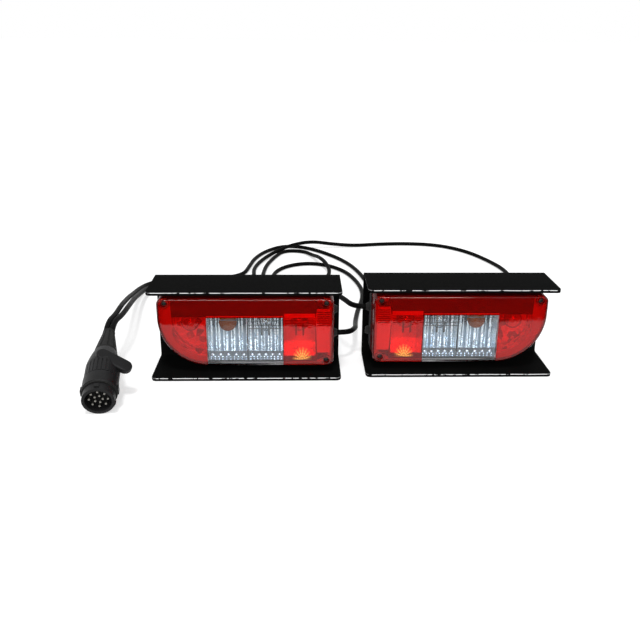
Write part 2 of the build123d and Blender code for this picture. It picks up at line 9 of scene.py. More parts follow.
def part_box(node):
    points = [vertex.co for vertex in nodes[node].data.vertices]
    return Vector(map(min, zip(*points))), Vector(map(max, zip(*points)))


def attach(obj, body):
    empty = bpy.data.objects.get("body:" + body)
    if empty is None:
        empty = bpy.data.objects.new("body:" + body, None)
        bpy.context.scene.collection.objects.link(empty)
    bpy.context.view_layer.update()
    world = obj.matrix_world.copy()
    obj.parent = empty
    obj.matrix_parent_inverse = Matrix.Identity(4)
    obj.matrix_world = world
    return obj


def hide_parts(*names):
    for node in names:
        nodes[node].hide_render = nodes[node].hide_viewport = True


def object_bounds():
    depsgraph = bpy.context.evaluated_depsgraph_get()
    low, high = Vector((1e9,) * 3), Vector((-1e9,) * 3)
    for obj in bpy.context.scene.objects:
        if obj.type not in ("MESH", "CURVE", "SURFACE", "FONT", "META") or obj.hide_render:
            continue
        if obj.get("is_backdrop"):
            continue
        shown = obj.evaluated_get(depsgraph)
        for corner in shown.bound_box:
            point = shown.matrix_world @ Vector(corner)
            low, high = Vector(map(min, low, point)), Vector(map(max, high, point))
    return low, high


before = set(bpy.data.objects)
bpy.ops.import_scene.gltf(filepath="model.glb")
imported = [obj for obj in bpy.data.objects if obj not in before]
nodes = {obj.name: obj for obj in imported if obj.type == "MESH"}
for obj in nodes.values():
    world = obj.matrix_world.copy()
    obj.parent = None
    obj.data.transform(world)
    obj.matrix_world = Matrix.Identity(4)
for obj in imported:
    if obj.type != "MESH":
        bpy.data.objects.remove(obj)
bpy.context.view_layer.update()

scene = bpy.context.scene

# Camera and white room: the lamps are seen from the front and a little above. The room is white
# wherever it shows, and a high key light and a broad fill in front stand for the studio's lamps.
scene.view_settings.view_transform = "Standard"
camera_place = (-0.0729, -0.9931, 0.4414)
pitch, yaw, roll = (math.radians(angle) for angle in (20.65, -1.569, 0.461))
turn_yaw = Matrix(((math.cos(yaw), math.sin(yaw), 0), (-math.sin(yaw), math.cos(yaw), 0), (0, 0, 1)))
turn_pitch = Matrix(
    ((1, 0, 0), (0, -math.sin(pitch), -math.cos(pitch)), (0, math.cos(pitch), -math.sin(pitch)))
)
turn_roll = Matrix(((math.cos(roll), -math.sin(roll), 0), (math.sin(roll), math.cos(roll), 0), (0, 0, 1)))
right, down, ahead = turn_roll @ turn_pitch @ turn_yaw
camera = bpy.data.objects.new("camera", bpy.data.cameras.new("camera"))
camera.data.lens = 42.19
camera.data.sensor_width = 36.0
camera.data.clip_start = 0.01
camera_turn = Matrix((right, -down, -ahead)).transposed().to_4x4()
camera.matrix_world = Matrix.Translation(camera_place) @ camera_turn
scene.collection.objects.link(camera)
scene.camera = camera


def white_where_seen(tree, lit, seen):
    """A strength that is one value for the light on the object and another where the room shows."""
    rays = tree.nodes.new("ShaderNodeLightPath")
    shows = rays.outputs["Is Camera Ray"]
    for kind in ("Is Glossy Ray", "Is Transmission Ray"):
        either = tree.nodes.new("ShaderNodeMath")
        either.operation = "MAXIMUM"
        tree.links.new(shows, either.inputs[0])
        tree.links.new(rays.outputs[kind], either.inputs[1])
        shows = either.outputs[0]
    strength = tree.nodes.new("ShaderNodeMapRange")
    strength.inputs["To Min"].default_value = lit
    strength.inputs["To Max"].default_value = seen
    tree.links.new(shows, strength.inputs["Value"])
    return strength.outputs["Result"]


world = bpy.data.worlds.new("white_room")
world.use_nodes = True
room = world.node_tree.nodes["Background"]
room.inputs["Color"].default_value = (1.0, 1.0, 1.0, 1.0)
room_light, room_white = 0.6, 1.0
room_strength = white_where_seen(world.node_tree, room_light, room_white)
world.node_tree.links.new(room_strength, room.inputs["Strength"])
scene.world = world

key = bpy.data.objects.new("key_light", bpy.data.lights.new("key_light", "SUN"))
key.data.energy = 1.3
key.data.angle = math.radians(9.0)
key_rise = math.radians(69.5)
key.rotation_euler = (math.radians(90.0) - key_rise, 0.0, math.radians(-4.0))
scene.collection.objects.link(key)
fill = bpy.data.objects.new("fill", bpy.data.lights.new("fill", "AREA"))
fill.data.shape = "RECTANGLE"
fill.data.size = 1.4
fill.data.size_y = 0.8
fill.data.energy = 26.0
fill.location = (-0.05, -2.1, 0.95)
fill_fall = 23.0
fill.rotation_euler = (math.radians(90.0 - fill_fall), 0.0, 0.0)
scene.collection.objects.link(fill)

floor_mesh = bpy.data.meshes.new("floor")
floor_level = -0.0003
floor_corners = [(x, y, floor_level) for x, y in ((-60, -9), (60, -9), (60, 90), (-60, 90))]
floor_mesh.from_pydata(floor_corners, [], [(0, 1, 2, 3)])
floor_paper = bpy.data.materials.new("floor_paper")
floor_paper.use_nodes = True
paper = floor_paper.node_tree.nodes["Principled BSDF"]
paper.inputs["Base Color"].default_value = (0.66, 0.66, 0.66, 1.0)
paper.inputs["Roughness"].default_value = 1.0
paper.inputs["Specular IOR Level"].default_value = 0.0
paper.inputs["Emission Color"].default_value = (1.0, 1.0, 1.0, 1.0)
floor_white = 0.48
paper_glow = white_where_seen(floor_paper.node_tree, 0.0, floor_white)
floor_paper.node_tree.links.new(paper_glow, paper.inputs["Emission Strength"])
floor_mesh.materials.append(floor_paper)
floor = bpy.data.objects.new("floor", floor_mesh)
scene.collection.objects.link(floor)
floor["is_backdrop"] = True

# A dark card lies on the floor in front, and is seen only in what shines: the upper part of each
# lens mirrors it, and the part below mirrors the pale floor.
card_edge, card_reach = -0.226, 2.0
card_corners = [(-card_reach, -card_reach, 0), (card_reach, -card_reach, 0)]
card_corners += [(card_reach, card_edge, 0), (-card_reach, card_edge, 0)]
card_mesh = bpy.data.meshes.new("dark_card")
card_mesh.from_pydata(card_corners, [], [(0, 1, 2, 3)])
card_paper = bpy.data.materials.new("card_paper")
card_paper.use_nodes = True
dark_paper = card_paper.node_tree.nodes["Principled BSDF"]
dark_paper.inputs["Base Color"].default_value = (0.01, 0.01, 0.01, 1.0)
dark_paper.inputs["Specular IOR Level"].default_value = 0.0
card_mesh.materials.append(card_paper)
card = bpy.data.objects.new("dark_card", card_mesh)
card.visible_camera = False
card.visible_diffuse = False
card.visible_transmission = False
card.visible_shadow = False
scene.collection.objects.link(card)
card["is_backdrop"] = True

# Brackets: one folded steel channel round each lamp, powder coated black. The sheared front
# edges of the flanges are uneven, and a painted highlight runs along them in broken lines.
lamp_body = "lamps_and_plug"
sides = {"left": -1.0, "right": 1.0}
bracket_low = {side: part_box(side + "_bracket")[0] for side in sides}
bracket_high = {side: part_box(side + "_bracket")[1] for side in sides}
bracket_width, bracket_depth, bracket_height = bracket_high["right"] - bracket_low["right"]


def lamp_point(side, along, depth, height):
    """A point of one lamp, from its inner end outwards, from the flanges' front back, and up."""
    inner = bracket_low["right"].x if side == "right" else bracket_high["left"].x
    return Vector((inner + sides[side] * along, bracket_low[side].y + depth, height))


def add_piece(name, mesh, materials, replaced=()):
    """Links a finished mesh as a piece of the part."""
    piece = bpy.data.objects.new(name, mesh)
    scene.collection.objects.link(piece)
    if len(materials) == 1:
        mesh.materials.clear()
    for material in materials:
        mesh.materials.append(material)
    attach(piece, lamp_body)
    if replaced:
        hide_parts(*replaced)


def mesh_from(shape, name, smooth_below=40.0):
    """Turns a bmesh into a mesh with outward faces, smooth except at edges sharper than an angle."""
    bmesh.ops.recalc_face_normals(shape, faces=shape.faces)
    mesh = bpy.data.meshes.new(name)
    shape.to_mesh(mesh)
    shape.free()
    if "custom_normal" in mesh.attributes:
        mesh.attributes.remove(mesh.attributes["custom_normal"])
    mesh.shade_smooth()
    mesh.set_sharp_from_angle(angle=math.radians(smooth_below))
    return mesh


# The grain that coats, mouldings and rubber share: a fine grain and slow patches.
surface_grain = bpy.data.node_groups.new("surface_grain", "ShaderNodeTree")
for label, size in (("Grain", 0.0008), ("Patch", 0.03)):
    size_in = surface_grain.interface.new_socket(
        label + " Size", in_out="INPUT", socket_type="NodeSocketFloat"
    )
    size_in.default_value = size
    surface_grain.interface.new_socket(label, in_out="OUTPUT", socket_type="NodeSocketFloat")
grain_in = surface_grain.nodes.new("NodeGroupInput")
grain_out = surface_grain.nodes.new("NodeGroupOutput")
grain_place = surface_grain.nodes.new("ShaderNodeTexCoord")
for label, detail in (("Grain", 2.0), ("Patch", 4.0)):
    per_metre = surface_grain.nodes.new("ShaderNodeMath")
    per_metre.operation = "DIVIDE"
    per_metre.inputs[0].default_value = 1.0
    surface_grain.links.new(grain_in.outputs[label + " Size"], per_metre.inputs[1])
    texture = surface_grain.nodes.new("ShaderNodeTexNoise")
    texture.inputs["Detail"].default_value = detail
    surface_grain.links.new(grain_place.outputs["Object"], texture.inputs["Vector"])
    surface_grain.links.new(per_metre.outputs[0], texture.inputs["Scale"])
    surface_grain.links.new(texture.outputs["Fac"], grain_out.inputs[label])


def grained_material(
    name, dark, light, smooth, rough, bump, grain=0.0008, patch=0.03, metallic=0.0, gloss=0.3
):
    """A finish whose colour and roughness drift between two values, with a fine grain."""
    material = bpy.data.materials.new(name)
    material.use_nodes = True
    tree = material.node_tree
    shader = tree.nodes["Principled BSDF"]
    shader.inputs["Metallic"].default_value = metallic
    shader.inputs["Specular IOR Level"].default_value = gloss
    surface = tree.nodes.new("ShaderNodeGroup")
    surface.node_tree = surface_grain
    surface.inputs["Grain Size"].default_value = grain
    surface.inputs["Patch Size"].default_value = patch
    colour = tree.nodes.new("ShaderNodeMix")
    colour.name = "colour"
    colour.data_type = "RGBA"
    colour.inputs["A"].default_value = (*dark, 1.0)
    colour.inputs["B"].default_value = (*light, 1.0)
    tree.links.new(surface.outputs["Patch"], colour.inputs["Factor"])
    tree.links.new(colour.outputs["Result"], shader.inputs["Base Color"])
    roughness = tree.nodes.new("ShaderNodeMapRange")
    roughness.inputs["To Min"].default_value = smooth
    roughness.inputs["To Max"].default_value = rough
    tree.links.new(surface.outputs["Patch"], roughness.inputs["Value"])
    tree.links.new(roughness.outputs["Result"], shader.inputs["Roughness"])
    relief = tree.nodes.new("ShaderNodeBump")
    relief.inputs["Strength"].default_value = bump
    relief.inputs["Distance"].default_value = grain
    tree.links.new(surface.outputs["Grain"], relief.inputs["Height"])
    tree.links.new(relief.outputs["Normal"], shader.inputs["Normal"])
    return material


def between(tree, value, start, end):
    """A mask that rises from nothing at one value to full at another."""
    mask = tree.nodes.new("ShaderNodeMapRange")
    mask.inputs["From Min"].default_value = start
    mask.inputs["From Max"].default_value = end
    tree.links.new(value, mask.inputs["Value"])
    return mask.outputs["Result"]


def stretched_noise(tree, per_metre, start, end):
    """A mask of noise that has its own fineness along each axis."""
    place = tree.nodes.new("ShaderNodeTexCoord")
    stretch = tree.nodes.new("ShaderNodeMapping")
    stretch.inputs["Scale"].default_value = per_metre
    texture = tree.nodes.new("ShaderNodeTexNoise")
    texture.inputs["Scale"].default_value = 1.0
    texture.inputs["Detail"].default_value = 3.0
    tree.links.new(place.outputs["Object"], stretch.inputs["Vector"])
    tree.links.new(stretch.outputs["Vector"], texture.inputs["Vector"])
    return between(tree, texture.outputs["Fac"], start, end)


def tint_where(material, mask, tint):
    """Mixes a second colour into a finish where a mask is high."""
    tree = material.node_tree
    mix = tree.nodes.new("ShaderNodeMix")
    mix.data_type = "RGBA"
    mix.inputs["B"].default_value = (*tint, 1.0)
    tree.links.new(mask, mix.inputs["Factor"])
    tree.links.new(tree.nodes["colour"].outputs["Result"], mix.inputs["A"])
    tree.links.new(mix.outputs["Result"], tree.nodes["Principled BSDF"].inputs["Base Color"])


powder_coat = grained_material(
    "powder_coat", (0.0022, 0.0024, 0.0025), (0.0052, 0.0052, 0.0050), 0.42, 0.6, 0.25, 0.0014, 0.05,
    gloss=0.002,
)
# Painted highlight: a mask from the mesh, broken up along the edge, paints the upper front edges near
# white.
highlight_white = (0.96, 0.97, 0.98)
coat = powder_coat.node_tree
painted_edge_highlight = coat.nodes.new("ShaderNodeAttribute")
painted_edge_highlight.attribute_name = "painted_edge_highlight"
edge_breaks = stretched_noise(coat, (125.0, 260.0, 260.0), 0.42, 0.46)
edge_highlight_mask = coat.nodes.new("ShaderNodeMath")
edge_highlight_mask.operation = "MULTIPLY"
coat.links.new(painted_edge_highlight.outputs["Fac"], edge_highlight_mask.inputs[0])
coat.links.new(edge_breaks, edge_highlight_mask.inputs[1])
tint_where(powder_coat, edge_highlight_mask.outputs[0], highlight_white)

sheet = 0.004
bend_outer = 0.007
bend_inner = 0.003
edge_round = 0.0011
flange_corner = 0.007
along_step = 0.002
flat_start, flat_step, flat_count = 0.010, 0.0115, 6
edge_zone, worn_depth = 0.005, 0.006
lump_depth, wave_height = 0.00042, 0.0003
corner_highlight = 0.3


def arc(centre, radius, start, end, steps):
    """Points on an arc in the bracket's cross-section, angles from straight back."""
    turns = [math.radians(start + (end - start) * step / steps) for step in range(steps + 1)]
    return [(centre[0] + radius * math.cos(turn), centre[1] + radius * math.sin(turn)) for turn in turns]


def flange_edge(low, high):
    """The rounded front edge of one flange, from its underside up to its top, with the painted highlight
    mask.
    """
    lower = arc((edge_round, low + edge_round), edge_round, 270, 180, 5)
    upper = arc((edge_round, high - edge_round), edge_round, 180, 90, 5)
    # The upper rounded edge carries the painted highlight.
    masks = [0.0] * len(lower) + [0.0, 0.0, 0.5, 1.0, 1.0, 0.0]
    return list(zip(lower + upper, masks))


def without_highlight(spots):
    """Points of the cross-section that carry no painted highlight."""
    return [(spot, 0.0) for spot in spots]


def join_rows(shape, rows):
    """Closes the skin between rows of corners that each run all the way round."""
    for near, far in zip(rows, rows[1:]):
        for index in range(len(near)):
            after = (index + 1) % len(near)
            shape.faces.new((near[index], near[after], far[after], far[index]))


top, wall_back, wall_front = bracket_height, bracket_depth, bracket_depth - sheet
flat_steps = [flat_start + flat_step * step for step in range(flat_count)]
section = flange_edge(top - sheet, top)
section += without_highlight((depth, top) for depth in flat_steps)
section += without_highlight(arc((wall_back - bend_outer, top - bend_outer), bend_outer, 90, 0, 6))
section += without_highlight(arc((wall_back - bend_outer, bend_outer), bend_outer, 0, -90, 6))
section += without_highlight((depth, 0.0) for depth in reversed(flat_steps))
section += flange_edge(0.0, sheet)
section += without_highlight((depth, sheet) for depth in flat_steps)
section += without_highlight(arc((wall_front - bend_inner, sheet + bend_inner), bend_inner, -90, 0, 4))
section += without_highlight(arc((wall_front - bend_inner, top - sheet - bend_inner), bend_inner, 0, 90, 4))
section += without_highlight((depth, top - sheet) for depth in reversed(flat_steps))

along_count = round(bracket_width / along_step)
for side in sides:
    shape = bmesh.new()
    mask = shape.verts.layers.float.new("painted_edge_highlight")
    rows = []
    for step in range(along_count + 1):
        along = bracket_width * step / along_count
        from_end = min(along, bracket_width - along, flange_corner)
        cut_back = flange_corner - math.sqrt(max(0.0, flange_corner**2 - (flange_corner - from_end) ** 2))
        row = []
        for (depth, height), highlight_share in section:
            near_edge = max(0.0, 1.0 - depth / worn_depth)
            lump = noise.noise((along * 95.0, height * 40.0, sides[side] * 7.0)) * lump_depth
            wave = noise.noise((along * 22.0, height * 9.0, sides[side] * 3.0)) * wave_height
            depth = depth + cut_back * (1.0 if depth < edge_zone else 0.0) + abs(lump) * near_edge
            height = height - abs(wave) * near_edge * (1.0 if height > top / 2 else -1.0)
            vert = shape.verts.new(lamp_point(side, along, depth, max(0.0, height)))
            vert[mask] = highlight_share * (1.0 if from_end > flange_corner * 0.9 else corner_highlight)
            row.append(vert)
        rows.append(row)
    join_rows(shape, rows)
    outline = [Vector((depth, height, 0.0)) for (depth, height), highlight_share in section]
    for row in (rows[0], rows[-1]):
        for corners in tessellate_polygon([outline]):
            shape.faces.new([row[corner] for corner in corners])
    mesh = mesh_from(shape, side + "_channel", 50.0)
    add_piece(side + "_channel", mesh, [powder_coat], [side + "_bracket"])

# Studs and screws of the back wall: M6 studs pressed into the sheet, with a rolled thread, and
# two pan-head screws that hold the lamp. All are zinc plated steel.
copies = bpy.data.node_groups.new("copies_on_points", "GeometryNodeTree")
copy_inputs = {"Points": "Geometry", "Piece": "Object", "Size": "Float", "Finish": "Material"}
for label, kind in copy_inputs.items():
    copies.interface.new_socket(label, in_out="INPUT", socket_type="NodeSocket" + kind)
copies.interface.new_socket("Result", in_out="OUTPUT", socket_type="NodeSocketGeometry")
copies_in = copies.nodes.new("NodeGroupInput")
copies_out = copies.nodes.new("NodeGroupOutput")
one_piece = copies.nodes.new("GeometryNodeObjectInfo")
on_points = copies.nodes.new("GeometryNodeInstanceOnPoints")
made_real = copies.nodes.new("GeometryNodeRealizeInstances")
with_finish = copies.nodes.new("GeometryNodeSetMaterial")
copies.links.new(copies_in.outputs["Piece"], one_piece.inputs["Object"])
copies.links.new(copies_in.outputs["Points"], on_points.inputs["Points"])
copies.links.new(one_piece.outputs["Geometry"], on_points.inputs["Instance"])
copies.links.new(copies_in.outputs["Size"], on_points.inputs["Scale"])
copies.links.new(on_points.outputs["Instances"], made_real.inputs["Geometry"])
copies.links.new(made_real.outputs["Geometry"], with_finish.inputs["Geometry"])
copies.links.new(copies_in.outputs["Finish"], with_finish.inputs["Material"])
copies.links.new(with_finish.outputs["Geometry"], copies_out.inputs["Result"])


def copies_of(name, piece_mesh, points, finish, size=1.0):
    """One mesh with a copy of a shape at each point."""
    pattern = bpy.data.objects.new(name + "_pattern", piece_mesh)
    spots = bpy.data.meshes.new(name + "_spots")
    spots.from_pydata([tuple(point) for point in points], [], [])
    holder = bpy.data.objects.new(name + "_holder", spots)
    scene.collection.objects.link(pattern)
    scene.collection.objects.link(holder)
    modifier = holder.modifiers.new("copies", "NODES")
    modifier.node_group = copies
    chosen = {"Piece": pattern, "Size": size, "Finish": finish}
    for item in copies.interface.items_tree:
        if item.in_out == "INPUT" and item.name in chosen:
            modifier[item.identifier] = chosen[item.name]
    evaluated = holder.evaluated_get(bpy.context.evaluated_depsgraph_get())
    mesh = bpy.data.meshes.new_from_object(evaluated)
    bpy.data.objects.remove(holder)
    bpy.data.objects.remove(pattern)
    return mesh


def turned(profile, steps, name, smooth_below=40.0):
    """A solid turned about the Y axis from a profile of radius and place along it."""
    shape = bmesh.new()
    rings = []
    for radius, along in profile:
        if radius == 0.0:
            rings.append([shape.verts.new((0.0, along, 0.0))])
            continue
        turns = [math.tau * step / steps for step in range(steps)]
        rings.append([shape.verts.new((radius * math.cos(t), along, radius * math.sin(t))) for t in turns])
    for near, far in zip(rings, rings[1:]):
        for step in range(steps):
            after = (step + 1) % steps
            corners = [near[spot % len(near)] for spot in (step, after)]
            corners += [far[spot % len(far)] for spot in (after, step)]
            shape.faces.new(list(dict.fromkeys(corners)))
    return mesh_from(shape, name, smooth_below)


zinc_plate = grained_material(
    "zinc_plate", (0.42, 0.42, 0.41), (0.66, 0.65, 0.62), 0.28, 0.42, 0.1, 0.0005, 0.004, metallic=1.0
)
stud_radius = 0.003
stud_reach = 0.020
stud_neck = (0.0034, 0.0005)
stud_spacing = 0.055
thread_pitch = 0.001
thread_depth = 0.00055
thread_around = 20
thread_steps = 8
tip_share, tip_length = 0.78, 0.004

shape = bmesh.new()
rows = []
row_count = round((stud_reach - stud_neck[1]) / thread_pitch * thread_steps)
for step in range(row_count + 1):
    along = stud_neck[1] + step * thread_pitch / thread_steps
    tip = min(1.0, tip_share + (stud_reach - along) / tip_length)
    row = []
    for around in range(thread_around):
        groove = abs(2.0 * ((along / thread_pitch - around / thread_around) % 1.0) - 1.0)
        radius = (stud_radius - thread_depth * groove) * tip
        turn = math.tau * around / thread_around
        row.append(shape.verts.new((radius * math.cos(turn), along, radius * math.sin(turn))))
    rows.append(row)
join_rows(shape, rows)
shape.faces.new(rows[0])
shape.faces.new(rows[-1])
thread_mesh = mesh_from(shape, "stud_thread", 70.0)
neck_profile = [(0.0, -sheet), (stud_neck[0], -sheet), stud_neck, (0.0, stud_neck[1])]
neck_mesh = turned(neck_profile, 24, "stud_neck")


def pair_on_back(side, spacing):
    """Two places on the back wall, level with its middle and on either side of it."""
    middle = lamp_point(side, bracket_width / 2, bracket_depth, bracket_height / 2)
    return [middle + Vector((offset * spacing / 2, 0.0, 0.0)) for offset in (-1, 1)]


for side in sides:
    spots = pair_on_back(side, stud_spacing)
    studs = copies_of(side + "_studs", thread_mesh, spots, zinc_plate)
    add_piece(side + "_stud_threads", studs, [zinc_plate], [side + "_mounting_studs"])
    necks = copies_of(side + "_necks", neck_mesh, spots, zinc_plate)
    add_piece(side + "_stud_necks", necks, [zinc_plate])

head_radius = 0.004
head_rise = 0.0024
head_rim, head_dome = 0.45, 0.55
cross_length = 0.0046
cross_width = 0.0009
cross_depth = 0.0013


def cross_head(facing):
    """A domed screw head at the origin with a cross recess, rising along Y."""
    dome = [(0.0, 0.0), (head_radius, 0.0), (head_radius, head_rise * head_rim)]
    for turn in (math.radians(angle) for angle in (25, 50, 72)):
        dome.append((head_radius * math.cos(turn), head_rise * (head_rim + head_dome * math.sin(turn))))
    dome.append((0.0, head_rise))
    head = bpy.data.objects.new("head", turned(dome, 28, "screw_head"))
    scene.collection.objects.link(head)
    cutters = []
    for size in ((cross_length, cross_width), (cross_width, cross_length)):
        slot = bmesh.new()
        bmesh.ops.create_cube(slot, size=1.0)
        bmesh.ops.scale(slot, verts=slot.verts, vec=(size[0], 2 * cross_depth, size[1]))
        bmesh.ops.translate(slot, verts=slot.verts, vec=(0.0, head_rise, 0.0))
        cutter = bpy.data.objects.new("slot", mesh_from(slot, "slot"))
        scene.collection.objects.link(cutter)
        cut = head.modifiers.new("slot", "BOOLEAN")
        cut.object = cutter
        cut.solver = "EXACT"
        cutters.append(cutter)
    mesh = bpy.data.meshes.new_from_object(head.evaluated_get(bpy.context.evaluated_depsgraph_get()))
    mesh.transform(Matrix.Rotation(0.0 if facing > 0 else math.pi, 4, "Z"))
    for spent in (*cutters, head):
        bpy.data.objects.remove(spent)
    return mesh


back_head = cross_head(1)
back_screw_spacing = 0.160
for side in sides:
    spots = pair_on_back(side, back_screw_spacing)
    screws = copies_of(side + "_back_screws", back_head, spots, zinc_plate)
    add_piece(side + "_back_screws", screws, [zinc_plate], [side + "_base_screws"])

# Trays and gaskets: the black moulded tray is screwed to the back wall, and a rubber frame lies
# between it and the lens. A pale block inside the tray takes the ends of the wires.
tray_plastic = grained_material(
    "tray_plastic", (0.012, 0.012, 0.013), (0.03, 0.03, 0.031), 0.3, 0.5, 0.2, 0.0009
)
tray_inside = grained_material("tray_inside", (0.5, 0.47, 0.47), (0.62, 0.58, 0.58), 0.4, 0.55, 0.1)
gasket_rubber = grained_material(
    "gasket_rubber", (0.006, 0.006, 0.006), (0.014, 0.014, 0.013), 0.6, 0.8, 0.3
)
terminal_plastic = grained_material(
    "terminal_plastic", (0.7, 0.7, 0.66), (0.82, 0.82, 0.78), 0.4, 0.55, 0.1
)
tray_rim = 0.002


def dress_node(name, material):
    """Gives a CAD node that keeps its shape its finish."""
    nodes[name].data.materials.clear()
    nodes[name].data.materials.append(material)


def clean_copy(node):
    """A merged copy of a CAD node's mesh as a bmesh."""
    shape = bmesh.new()
    shape.from_mesh(nodes[node].data)
    bmesh.ops.remove_doubles(shape, verts=shape.verts, dist=1e-6)
    return shape


for side in sides:
    low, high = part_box(side + "_lamp_base")
    middle = (low + high) / 2
    shape = clean_copy(side + "_lamp_base")
    for face in shape.faces:
        inward = middle - face.calc_center_median()
        across = face.normal.x * inward.x + face.normal.z * inward.z
        facing = face.normal.y < -0.5 and face.calc_center_median().y > low.y + tray_rim
        if facing or (abs(face.normal.y) < 0.5 and across > 0):
            face.material_index = 1
    mesh = mesh_from(shape, side + "_tray", 35.0)
    add_piece(side + "_tray", mesh, [tray_plastic, tray_inside], [side + "_lamp_base"])
    dress_node(side + "_lens_gasket", gasket_rubber)
    dress_node(side + "_terminal_block", terminal_plastic)

# Reflectors: one metallised moulding in each lamp, with four chambers under a shelf. Its front
# rim and shelf were left dark, and the outer chamber is pressed in facets.
chrome = grained_material(
    "chrome", (0.66, 0.71, 0.78), (0.86, 0.90, 0.95), 0.05, 0.14, 0.12, 0.006, 0.02, metallic=1.0
)
flute_chrome = grained_material(
    "flute_chrome", (0.52, 0.64, 0.76), (0.97, 1.0, 1.0), 0.05, 0.16, 0.3, 0.005, 0.02, metallic=0.8
)
flutes = flute_chrome.node_tree
streaks = stretched_noise(flutes, (420.0, 60.0, 70.0), 0.30, 0.46)
flutes.links.new(streaks, flutes.nodes["colour"].inputs["Factor"])
tail_chrome = grained_material(
    "tail_chrome", (0.42, 0.43, 0.45), (0.62, 0.64, 0.67), 0.08, 0.2, 0.12, 0.006, 0.02, metallic=0.8
)
# The grooves between the flutes are painted paler towards the foot, a painted reflection of the floor's
# light.
ridge_grey = grained_material("ridge_grey", (0.03, 0.035, 0.04), (0.09, 0.10, 0.11), 0.3, 0.5, 0.1)
groove_dark_height, groove_pale_height, groove_reflection_colour = 0.062, 0.046, (0.34, 0.43, 0.52)
grooves = ridge_grey.node_tree
groove_place = grooves.nodes.new("ShaderNodeTexCoord")
groove_axes = grooves.nodes.new("ShaderNodeSeparateXYZ")
grooves.links.new(groove_place.outputs["Object"], groove_axes.inputs["Vector"])
groove_reflection_mask = between(grooves, groove_axes.outputs["Z"], groove_dark_height, groove_pale_height)
tint_where(ridge_grey, groove_reflection_mask, groove_reflection_colour)
step_grey = grained_material(
    "step_grey", (0.10, 0.115, 0.125), (0.20, 0.22, 0.24), 0.2, 0.4, 0.1, metallic=0.4
)
rim_dark = grained_material("reflector_rim", (0.012, 0.011, 0.011), (0.03, 0.027, 0.027), 0.4, 0.55, 0.15)
rim_pale = grained_material("reflector_border", (0.38, 0.35, 0.35), (0.48, 0.44, 0.44), 0.4, 0.55, 0.15)
reflex_back = grained_material(
    "reflex_back", (0.72, 0.70, 0.70), (0.86, 0.84, 0.84), 0.35, 0.5, 0.3, 0.0016
)
# Each facet of the outer chamber is painted its own brightness, a painted reflection, and has a slope of
# its own.
faceted_chrome = grained_material(
    "faceted_chrome", (0.30, 0.28, 0.28), (1.0, 1.0, 1.0), 0.08, 0.2, 0.1, 0.004, 0.02
)
facets_per_metre = 125.0
facets = faceted_chrome.node_tree
facet_place = facets.nodes.new("ShaderNodeTexCoord")
facet_cells = facets.nodes.new("ShaderNodeTexVoronoi")
facet_cells.inputs["Scale"].default_value = facets_per_metre
facet_painted_reflection = between(facets, facet_cells.outputs["Color"], 0.18, 0.50)
facets.links.new(facet_painted_reflection, facets.nodes["colour"].inputs["Factor"])
facet_relief = facets.nodes.new("ShaderNodeBump")
facet_relief.inputs["Strength"].default_value = 0.9
facet_relief.inputs["Distance"].default_value = 0.004
facets.links.new(facet_place.outputs["Object"], facet_cells.inputs["Vector"])
facets.links.new(facet_cells.outputs["Distance"], facet_relief.inputs["Height"])
facets.links.new(facet_relief.outputs["Normal"], facets.nodes["Principled BSDF"].inputs["Normal"])

chamber_finishes = [
    chrome, rim_dark, reflex_back, faceted_chrome, flute_chrome,
    ridge_grey, rim_pale, tail_chrome, step_grey,
]
ledge_top = 0.031
reflex_edge = 0.0325
face_slack = 0.0005
window_low, window_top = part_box("right_clear_lens")
window_outer = window_top.x - bracket_low["right"].x
window_inner = window_low.x - bracket_low["right"].x
for side in sides:
    low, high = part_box(side + "_reflector")
    shape = clean_copy(side + "_reflector")
    for face in shape.faces:
        spot = face.calc_center_median()
        along = abs(spot.x - lamp_point(side, 0.0, 0.0, 0.0).x)
        faces_front = face.normal.y < -0.9
        if faces_front and spot.y < low.y + face_slack:
            finish = reflex_back if along < reflex_edge else rim_dark
            if along > window_outer and spot.z < window_top.z:
                finish = rim_pale
        elif spot.z > window_top.z + face_slack:
            finish = rim_dark if face.normal.z > -0.5 else chrome
        elif along > window_outer:
            finish = faceted_chrome
        elif window_inner < along < window_outer:
            finish = ridge_grey if faces_front and spot.z > ledge_top else flute_chrome
            if spot.z < ledge_top + face_slack:
                finish = step_grey if face.normal.y < -0.5 else chrome
        else:
            finish = tail_chrome
        face.material_index = chamber_finishes.index(finish)
    mesh = mesh_from(shape, side + "_chambers", 30.0)
    add_piece(side + "_chambers", mesh, chamber_finishes, [side + "_reflector"])

# Border plates: a dull plate closes the gap between each reflector and its lens all round, level
# with the reflector's front. It is moulded in the same plastic and not metallised.
border_steps = 180
border_inset = 0.0034
border_front, border_back = 0.0004, 0.0014
border_overlap, border_least = 0.0003, 0.0002
same_depth = 2e-5
beyond_lens = 0.5


def outline_of(node, depth):
    """The outer outline of a CAD node's corners at one depth, in width and height."""
    places = [vertex.co for vertex in nodes[node].data.vertices]
    level = [place for place in places if abs(place.y - depth) < same_depth]
    corners = sorted({(round(place.x, 6), round(place.z, 6)) for place in level})
    return [Vector(corners[index]) for index in convex_hull_2d([Vector(corner) for corner in corners])]


def reach(outline, middle, turn):
    """Where a line from the middle at one angle meets an outline."""
    far = middle + Vector((math.cos(turn), math.sin(turn))) * beyond_lens
    for start, end in zip(outline, outline[1:] + outline[:1]):
        met = intersect_line_line_2d(middle, far, start, end)
        if met:
            return met
    return middle


